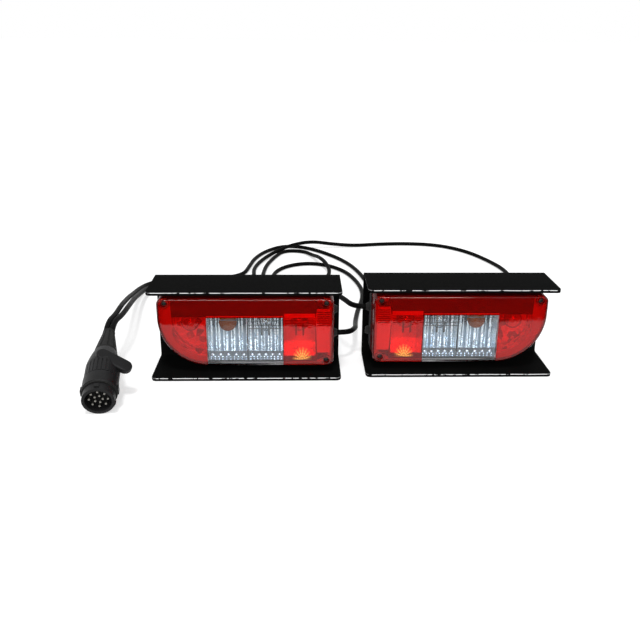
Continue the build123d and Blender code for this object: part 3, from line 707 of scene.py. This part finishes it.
for side in sides:
    front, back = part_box(side + "_reflector")[0].y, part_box(side + "_red_lens")[1].y
    inner_edge = outline_of(side + "_reflector", front)
    outer_edge = outline_of(side + "_red_lens", back)
    middle = sum(inner_edge, Vector((0.0, 0.0))) / len(inner_edge)
    shape = bmesh.new()
    rings = []
    for step in range(border_steps):
        turn = 2 * math.pi * step / border_steps
        way = Vector((math.cos(turn), math.sin(turn)))
        near = reach(inner_edge, middle, turn) - way * border_overlap
        far = reach(outer_edge, middle, turn) - way * border_inset
        far = far if (far - middle).length > (near - middle).length else near + way * border_least
        around = ((near, border_front), (far, border_front), (far, border_back), (near, border_back))
        rings.append([shape.verts.new((spot.x, front + depth, spot.y)) for spot, depth in around])
    for one, two in zip(rings, rings[1:] + rings[:1]):
        for corner in range(4):
            shape.faces.new((one[corner], one[corner - 1], two[corner - 1], two[corner]))
    mesh = mesh_from(shape, side + "_border_plate")
    add_piece(side + "_border_plate", mesh, [rim_pale])

# Bulbs and sockets: each bulb has a brass cap in a black socket of the shelf and a round glass
# below it with two wire posts inside. The indicator's glass is amber.
socket_plastic = grained_material(
    "socket_plastic", (0.03, 0.03, 0.03), (0.06, 0.06, 0.06), 0.4, 0.55, 0.15
)
bulb_brass = grained_material(
    "bulb_brass", (0.5, 0.4, 0.22), (0.68, 0.55, 0.32), 0.25, 0.4, 0.1, metallic=1.0
)


def glass_material(name, dark, light, smooth, ior=1.49, gloss=0.5, clear=1.0):
    """Clear or tinted glass or acrylic, with a faint drift in its tint."""
    material = grained_material(name, dark, light, smooth, smooth + 0.02, 0.02, 0.006, 0.05, gloss=gloss)
    shader = material.node_tree.nodes["Principled BSDF"]
    shader.inputs["Transmission Weight"].default_value = clear
    shader.inputs["IOR"].default_value = ior
    return material


amber_glass = glass_material(
    "amber_glass", (0.25, 0.043, 0.0005), (0.36, 0.070, 0.001), 0.04, 1.2, 0.05, clear=0.25
)
bulb_glass = glass_material("bulb_glass", (0.9, 0.92, 0.93), (0.97, 0.98, 0.98), 0.02)
globe_wall = 0.0008
lip_outer, lip_inner = 0.0004, 0.0012
cap_share, cap_top_share = 0.6, 0.5
cap_length, cap_taper = 0.0203, 0.003
wire_radius, wire_spread, wire_low_share = 0.0004, 0.003, 0.9
for side in sides:
    dress_node(side + "_bulb_holders", socket_plastic)
    for job in ("tail_brake", "reversing", "indicator", "fog"):
        node = f"{side}_bulb_{job}"
        low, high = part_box(node)
        globe = (high.x - low.x) / 2
        cap_radius = globe * cap_share
        middle = low.z + globe
        glass_profile = [
            (math.cos(math.radians(turn)) * globe, middle - low.z + math.sin(math.radians(turn)) * globe)
            for turn in range(-90, 36, 9)
        ]
        glass_profile[0] = (0.0, 0.0)
        cap_end = high.z - low.z
        cap_low = cap_end - cap_length
        wall = [(max(0.0, radius - globe_wall), along + globe_wall) for radius, along in glass_profile]
        wall = [(radius, min(along, cap_low)) for radius, along in wall]
        wall[0] = (0.0, globe_wall)
        glass_profile += [(cap_radius - lip_outer, cap_low), (cap_radius - lip_inner, cap_low)]
        glass_mesh = turned(glass_profile + wall[::-1], 32, node + "_glass", 60.0)
        cap_profile = [(0.0, cap_low), (cap_radius, cap_low), (cap_radius, cap_end - cap_taper)]
        cap_profile += [(cap_radius * cap_top_share, cap_end), (0.0, cap_end)]
        cap_mesh = turned(cap_profile, 28, node + "_cap")
        wire_low = globe * wire_low_share
        wire = [(0.0, wire_low), (wire_radius, wire_low), (wire_radius, cap_low), (0.0, cap_low)]
        wire_spots = [(-wire_spread, 0, 0), (wire_spread, 0, 0)]
        posts = copies_of(node + "_posts", turned(wire, 8, "post"), wire_spots, bulb_brass)
        foot = Vector(((low.x + high.x) / 2, (low.y + high.y) / 2, low.z))
        stand = Matrix.Translation(foot) @ Matrix.Rotation(math.radians(90), 4, "X")
        for mesh in (glass_mesh, cap_mesh, posts):
            mesh.transform(stand)
        tint = amber_glass if job == "indicator" else bulb_glass
        add_piece(node + "_glass", glass_mesh, [tint], [node])
        add_piece(node + "_cap", cap_mesh, [bulb_brass])
        add_piece(node + "_posts", posts, [bulb_brass])

# Beads: two rows of pressed beads on the step along the foot of the middle chambers scatter the
# light of the reversing lamp and the indicator. They are metallised with the reflector.
ledge_front = 0.034
bead_radius = 0.0027
bead_height = 0.0264
small_bead_radius = 0.0013
small_bead_height = 0.0226
bead_gap, bead_sink = 0.0015, 0.0006
window_split = 0.12856
window_spans = ((window_inner, window_split), (window_split, window_outer))
beads_across = 5
shape = bmesh.new()
bmesh.ops.create_icosphere(shape, subdivisions=3, radius=bead_radius)
bead_mesh = mesh_from(shape, "bead", 60.0)
for side in sides:
    beads, small_beads = [], []
    for start, end in window_spans:
        bead_pitch = (end - start - bead_gap) / beads_across
        for step in range(beads_across):
            along = (start + end) / 2 + (step - (beads_across - 1) / 2) * bead_pitch
            beads.append(lamp_point(side, along, ledge_front - bead_sink, bead_height))
            for shift in (-bead_pitch / 4, bead_pitch / 4):
                small_beads.append(lamp_point(side, along + shift, ledge_front, small_bead_height))
    row = copies_of(side + "_beads", bead_mesh, beads, chrome)
    add_piece(side + "_beads", row, [chrome])
    row = copies_of(side + "_small_beads", bead_mesh, small_beads, chrome, small_bead_radius / bead_radius)
    add_piece(side + "_small_beads", row, [chrome])

# Reflex ribs: fine dark ribs across the upper half of the reflex panel and of the tail chamber,
# moulded on the back of the lens, and pale strips along the top of the window and the chamber as painted
# highlights.
rib_size = Vector((0.0172, 0.0008, 0.0009))
tail_rib_size = Vector((0.040, 0.0008, 0.0010))
reflex_middle, tail_middle = 0.0243, 0.0570
lens_inside = 0.0219
rib_low, rib_pitch, rib_count = 0.0735, 0.0031, 7
rib_heights = [rib_low + rib_pitch * step for step in range(rib_count)]
highlight_strip_size, highlight_strip_middle = Vector((0.104, 0.0004, 0.0016)), 0.1318
tail_highlight_strip_size = Vector((0.0425, 0.0004, 0.0058))
rib_plastic = grained_material("rib_plastic", (0.10, 0.006, 0.005), (0.16, 0.01, 0.008), 0.25, 0.4, 0.1)


def block_mesh(size, name):
    """A plain block about the origin."""
    shape = bmesh.new()
    bmesh.ops.create_cube(shape, size=1.0)
    bmesh.ops.scale(shape, verts=shape.verts, vec=size)
    return mesh_from(shape, name)


for side in sides:
    for name, size, middle, heights in (
        ("reflex_ribs", rib_size, reflex_middle, rib_heights),
        ("tail_ribs", tail_rib_size, tail_middle, [rib_low, 0.0765, 0.0800]),
        ("bright_strip", highlight_strip_size, highlight_strip_middle, [0.0862]),
        ("tail_strip", tail_highlight_strip_size, tail_middle, [0.0875]),
    ):
        spots = [lamp_point(side, middle, lens_inside + size.y / 2, height) for height in heights]
        # The strips are pale sheets painted in as highlights along the chambers' top edges.
        finish = reflex_back if "strip" in name else rib_plastic
        ribs = copies_of(f"{side}_{name}", block_mesh(size, name), spots, finish)
        add_piece(f"{side}_{name}", ribs, [finish])

# Window ribs: fine smoky ribs high across the back of the window, and dark posts that stand on
# both sides of the reversing and tail bulbs and carry their sockets.
window_rib_size = Vector((0.046, 0.0007, 0.0009))
post_size = Vector((0.0024, 0.0024, 0.016))
post_spread, post_depth, post_height = 0.0050, 0.0265, 0.0655
rib_smoke = grained_material("rib_smoke", (0.05, 0.055, 0.055), (0.12, 0.13, 0.13), 0.2, 0.35, 0.1)
reversing_along, indicator_along = ((start + end) / 2 for start, end in window_spans)
rib_places = [(reversing_along, height) for height in (0.0690, 0.0738, 0.0800)]
rib_places += [(indicator_along, 0.0812)]
post_places = []
for along in (reversing_along, tail_middle):
    post_places += [(along - post_spread, post_height), (along + post_spread, post_height)]
for side in sides:
    for name, size, depth, places in (
        ("window_ribs", window_rib_size, lens_inside + window_rib_size.y / 2, rib_places),
        ("bulb_posts", post_size, post_depth, post_places),
    ):
        spots = [lamp_point(side, along, depth, height) for along, height in places]
        ribs = copies_of(f"{side}_{name}", block_mesh(size, name), spots, rib_smoke)
        add_piece(f"{side}_{name}", ribs, [rib_smoke])

# Lenses: one acrylic moulding on each lamp, red with a colourless window in it. Its front edge is
# rounded, and a fan low in front of the tail bulb carries a painted glint and glow, orange and emissive.
red_acrylic = glass_material(
    "red_acrylic", (0.93, 0.012, 0.007), (1.0, 0.02, 0.012), 0.02, 1.45, 0.08, clear=0.95
)
lens_skirt = glass_material(
    "lens_skirt", (0.26, 0.006, 0.004), (0.34, 0.009, 0.006), 0.12, 1.1, 0.05, clear=0.6
)
clear_acrylic = glass_material(
    "clear_acrylic", (0.86, 0.91, 0.95), (0.93, 0.96, 0.98), 0.02, 1.45, 0.15
)
fan_along, fan_height, fan_reach, fan_narrow = 0.0535, 0.0235, 0.0195, 1.4
fan_blades, blade_depth, blade_middle = 16.0, 0.45, 0.6
ring_rate, ring_depth, ring_middle = 1500.0, 0.25, 0.8
fan_heart = 0.35
painted_glint_tint, painted_glow_colour = (1.0, 0.50, 0.10), (0.75, 0.40, 0.08)
red = red_acrylic.node_tree
fan_place = red.nodes.new("ShaderNodeTexCoord")
fan_axes = red.nodes.new("ShaderNodeSeparateXYZ")
red.links.new(fan_place.outputs["Object"], fan_axes.inputs["Vector"])


def fan_math(operation, *values):
    """One step of the fan's arithmetic."""
    step = red.nodes.new("ShaderNodeMath")
    step.operation = operation
    for socket, value in zip(step.inputs, values):
        if isinstance(value, float):
            socket.default_value = value
        else:
            red.links.new(value, socket)
    return step.outputs[0]


lamp_inner = bracket_low["right"].x
fan_x = fan_math("SUBTRACT", fan_math("ABSOLUTE", fan_axes.outputs["X"]), lamp_inner + fan_along)
fan_x = fan_math("MULTIPLY", fan_x, fan_narrow)
fan_z = fan_math("SUBTRACT", fan_axes.outputs["Z"], fan_height)
fan_square = fan_math("ADD", fan_math("POWER", fan_x, 2.0), fan_math("POWER", fan_z, 2.0))
fan_radius = fan_math("SQRT", fan_square)
fan_turn = fan_math("ARCTAN2", fan_z, fan_x)
fan_wave = fan_math("SINE", fan_math("MULTIPLY", fan_turn, fan_blades))
fan_streak = fan_math("MULTIPLY_ADD", fan_wave, blade_depth, blade_middle)
ring_wave = fan_math("SINE", fan_math("MULTIPLY", fan_radius, ring_rate))
fan_rings = fan_math("MULTIPLY_ADD", ring_wave, ring_depth, ring_middle)
fan_fade = between(red, fan_radius, fan_reach, fan_reach * fan_heart)
painted_glow_mask = fan_math("MULTIPLY", fan_math("MULTIPLY", fan_fade, fan_streak), fan_rings)
painted_glow_mask = fan_math("MULTIPLY", painted_glow_mask, fan_math("GREATER_THAN", fan_z, 0.0))
# Painted light: the fan is tinted orange and made to emit, a painted glint and glow.
tint_where(red_acrylic, painted_glow_mask, painted_glint_tint)
painted_glow_mix = red.nodes.new("ShaderNodeMix")
painted_glow_mix.data_type = "RGBA"
painted_glow_mix.inputs["A"].default_value = (0.0, 0.0, 0.0, 1.0)
painted_glow_mix.inputs["B"].default_value = (*painted_glow_colour, 1.0)
red.links.new(painted_glow_mask, painted_glow_mix.inputs["Factor"])
red.links.new(painted_glow_mix.outputs["Result"], red.nodes["Principled BSDF"].inputs["Emission Color"])
red.nodes["Principled BSDF"].inputs["Emission Strength"].default_value = 1.0
skirt_slope = 0.3
for side in sides:
    shape = clean_copy(side + "_red_lens")
    for face in shape.faces:
        if abs(face.normal.y) < skirt_slope:
            face.material_index = 1
    mesh = mesh_from(shape, side + "_red_moulding", 35.0)
    add_piece(side + "_red_moulding", mesh, [red_acrylic, lens_skirt], [side + "_red_lens"])
    mesh = mesh_from(clean_copy(side + "_clear_lens"), side + "_clear_moulding", 35.0)
    add_piece(side + "_clear_moulding", mesh, [clear_acrylic], [side + "_clear_lens"])

# Lens screws: three blackened steel screws with a cross recess hold each lens to its tray. Their
# heads sit down in the columns of the lens.
screw_black = grained_material(
    "screw_black", (0.015, 0.015, 0.015), (0.05, 0.05, 0.048), 0.3, 0.5, 0.1, 0.0004, 0.003, metallic=0.6
)
lens_head = cross_head(-1)
lens_head_radius = 0.0036
lens_screw_depth = 0.024
lens_screw_inset, lens_screw_drop = 0.0203, 0.0077
lens_low, lens_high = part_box("right_red_lens")
for side in sides:
    places = [
        (lens_screw_inset, lens_high.z - lens_screw_drop),
        (lens_screw_inset, lens_low.z + lens_screw_drop),
        (bracket_width - lens_screw_inset, lens_high.z - lens_screw_drop),
    ]
    spots = [lamp_point(side, along, lens_screw_depth, height) for along, height in places]
    heads = copies_of(side + "_lens_screws", lens_head, spots, screw_black, lens_head_radius / head_radius)
    add_piece(side + "_lens_screw_heads", heads, [screw_black], [side + "_lens_screws"])

# Cable entries: two tapered rubber bushes pushed into the inner end of each tray. One takes the
# cable and the other is blank.
bush_rubber = grained_material("bush_rubber", (0.008, 0.008, 0.008), (0.02, 0.02, 0.019), 0.5, 0.7, 0.3)
for side in sides:
    dress_node(side + "_cable_grommets", bush_rubber)

# Plug: a round black moulded plug with an open nose, a coupling collar, a ribbed barrel with a
# turning wing and a fluted rubber tail. Thirteen pale pins stand in the nose.
plug_plastic = grained_material(
    "plug_plastic", (0.005, 0.005, 0.005), (0.014, 0.014, 0.015), 0.34, 0.5, 0.25, 0.0007, gloss=0.12
)
plug_rubber = grained_material(
    "plug_rubber", (0.007, 0.007, 0.007), (0.02, 0.02, 0.019), 0.5, 0.7, 0.3, gloss=0.1
)
pin_metal = grained_material(
    "pin_metal", (0.20, 0.195, 0.175), (0.28, 0.27, 0.245), 0.25, 0.4, 0.05, metallic=0.35
)
# The pins are painted darker from just behind their tips back into the nose, painted shade of the recess;
# the tips keep the pale metal.
plug_nose = Vector((-0.3226, -0.158, 0.0198))
plug_back = Vector((-0.109346, 0.959717, 0.258819))
pin_tip, bright_length = 0.004, 0.0009
pin_recess_shade = (0.03, 0.03, 0.028)
pin = pin_metal.node_tree
pin_place = pin.nodes.new("ShaderNodeTexCoord")
pin_depth = pin.nodes.new("ShaderNodeVectorMath")
pin_depth.operation = "DOT_PRODUCT"
pin_depth.inputs[1].default_value = plug_back
pin.links.new(pin_place.outputs["Object"], pin_depth.inputs[0])
bright_end = plug_nose.dot(plug_back) + pin_tip + bright_length
pin_shade = between(pin, pin_depth.outputs["Value"], bright_end, bright_end + bright_length)
tint_where(pin_metal, pin_shade, pin_recess_shade)
for name in ("plug_sleeve", "plug_housing", "plug_collar", "plug_insert"):
    dress_node(name, plug_plastic)
for name in ("plug_seal", "plug_boot"):
    dress_node(name, plug_rubber)
dress_node("plug_pins", pin_metal)

# Cables: two round black sheaths from the plug's tail, loose on the floor behind the lamps, each
# ending in a rubber entry of its lamp. Their points follow the solids' way, moved a little.
cord_diameter = 0.0078
lying = cord_diameter / 2
tail_point = Vector((-0.338166, -0.021741, 0.056552))
tail_side = Vector((0.993572, 0.113203, 0.0))
tail_gap, tail_run = 0.004, 0.026
right_start = tail_point - tail_side * tail_gap
left_start = tail_point + tail_side * tail_gap
right_route = [
    right_start, right_start + plug_back * tail_run,
    (-0.3425, 0.036, 0.0615), (-0.3445, 0.080, 0.0595), (-0.3495, 0.130, 0.0505), (-0.3555, 0.183, 0.039),
    (-0.3615, 0.240, 0.0255), (-0.3645, 0.300, 0.0145), (-0.360, 0.352, 0.0065), (-0.333, 0.388, lying),
    (-0.284, 0.396, lying), (-0.226, 0.396, lying), (-0.185, 0.420, lying), (-0.177, 0.481, lying),
    (-0.170, 0.536, lying), (-0.150, 0.592, lying), (-0.113, 0.637, lying), (-0.066, 0.629, lying),
    (-0.018, 0.578, lying), (0.020, 0.514, lying), (0.042, 0.444, lying), (0.053, 0.372, lying),
    (0.072, 0.302, lying), (0.118, 0.250, lying), (0.186, 0.233, lying), (0.254, 0.253, lying),
    (0.306, 0.304, lying), (0.335, 0.373, lying), (0.3403, 0.446, lying), (0.324, 0.516, lying),
    (0.290, 0.596, lying), (0.236, 0.647, lying), (0.166, 0.6602, lying), (0.098, 0.6535, lying),
    (0.048, 0.641, lying), (-0.002, 0.642, 0.0072), (-0.050, 0.637, 0.0148), (-0.096, 0.603, 0.0148),
    (-0.133, 0.572, 0.006), (-0.157, 0.516, lying), (-0.168, 0.458, lying), (-0.163, 0.408, lying),
    (-0.186, 0.369, lying), (-0.226, 0.345, lying), (-0.254, 0.314, lying), (-0.250, 0.274, lying),
    (-0.212, 0.255, lying), (-0.172, 0.268, lying), (-0.152, 0.312, lying), (-0.148, 0.368, lying),
    (-0.147, 0.428, lying), (-0.143, 0.486, lying), (-0.128, 0.548, lying), (-0.110, 0.598, lying),
    (-0.066, 0.594, lying), (-0.046, 0.552, 0.006), (-0.036, 0.512, 0.0149), (-0.021, 0.466, 0.0149),
    (-0.014, 0.424, 0.006), (-0.030, 0.378, lying), (-0.053, 0.332, lying), (-0.066, 0.286, 0.0044),
    (-0.070, 0.242, 0.009), (-0.064, 0.200, 0.025), (-0.053, 0.162, 0.047), (-0.040, 0.128, 0.067),
    (-0.025, 0.092, 0.0785), (-0.009, 0.052, 0.0805), (0.003, 0.021, 0.080), (0.0205, 0.021, 0.080),
]
left_route = [
    left_start, left_start + plug_back * tail_run,
    (-0.3335, 0.035, 0.0605), (-0.334, 0.078, 0.058), (-0.339, 0.128, 0.0495), (-0.345, 0.181, 0.0385),
    (-0.351, 0.237, 0.025), (-0.3535, 0.292, 0.0145), (-0.348, 0.338, 0.0065), (-0.313, 0.358, lying),
    (-0.285, 0.328, lying), (-0.276, 0.278, lying), (-0.246, 0.236, lying), (-0.198, 0.222, lying),
    (-0.150, 0.240, lying), (-0.126, 0.286, lying), (-0.124, 0.340, lying), (-0.128, 0.392, lying),
    (-0.124, 0.440, lying), (-0.100, 0.482, lying), (-0.057, 0.502, lying), (-0.014, 0.484, lying),
    (0.017, 0.440, lying), (0.033, 0.384, lying), (0.041, 0.326, lying), (0.037, 0.270, lying),
    (0.026, 0.220, 0.0052), (0.019, 0.172, 0.008), (0.014, 0.124, 0.016), (0.011, 0.080, 0.027),
    (0.008, 0.044, 0.038), (-0.003, 0.011, 0.044), (-0.0205, 0.011, 0.044),
]
sheath = grained_material(
    "cable_sheath", (0.002, 0.002, 0.002), (0.005, 0.005, 0.0048), 0.35, 0.5, 0.15, 0.0006, gloss=0.02
)
plug_nodes = [
    "plug_sleeve", "plug_housing", "plug_collar", "plug_seal", "plug_insert", "plug_pins", "plug_boot"
]
for name, route, length, on_it in (
    ("cord_right", right_route, 3.685, plug_nodes),
    ("cord_left", left_route, 1.489, ["plug_boot"]),
):
    curve = bpy.data.curves.new(name + "_sheath", "CURVE")
    curve.dimensions = "3D"
    curve.bevel_depth = cord_diameter / 2
    curve.bevel_resolution = 4
    curve.resolution_u = 10
    curve.use_fill_caps = True
    spline = curve.splines.new("NURBS")
    spline.points.add(len(route) - 1)
    for point, place in zip(spline.points, reversed(route)):
        point.co = (*place, 1.0)
    spline.order_u = 3
    spline.use_endpoint_u = True
    cable = bpy.data.objects.new(name + "_sheath", curve)
    scene.collection.objects.link(cable)
    curve.materials.append(sheath)
    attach(cable, "lamps_and_plug")
    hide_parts(name)

low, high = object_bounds()
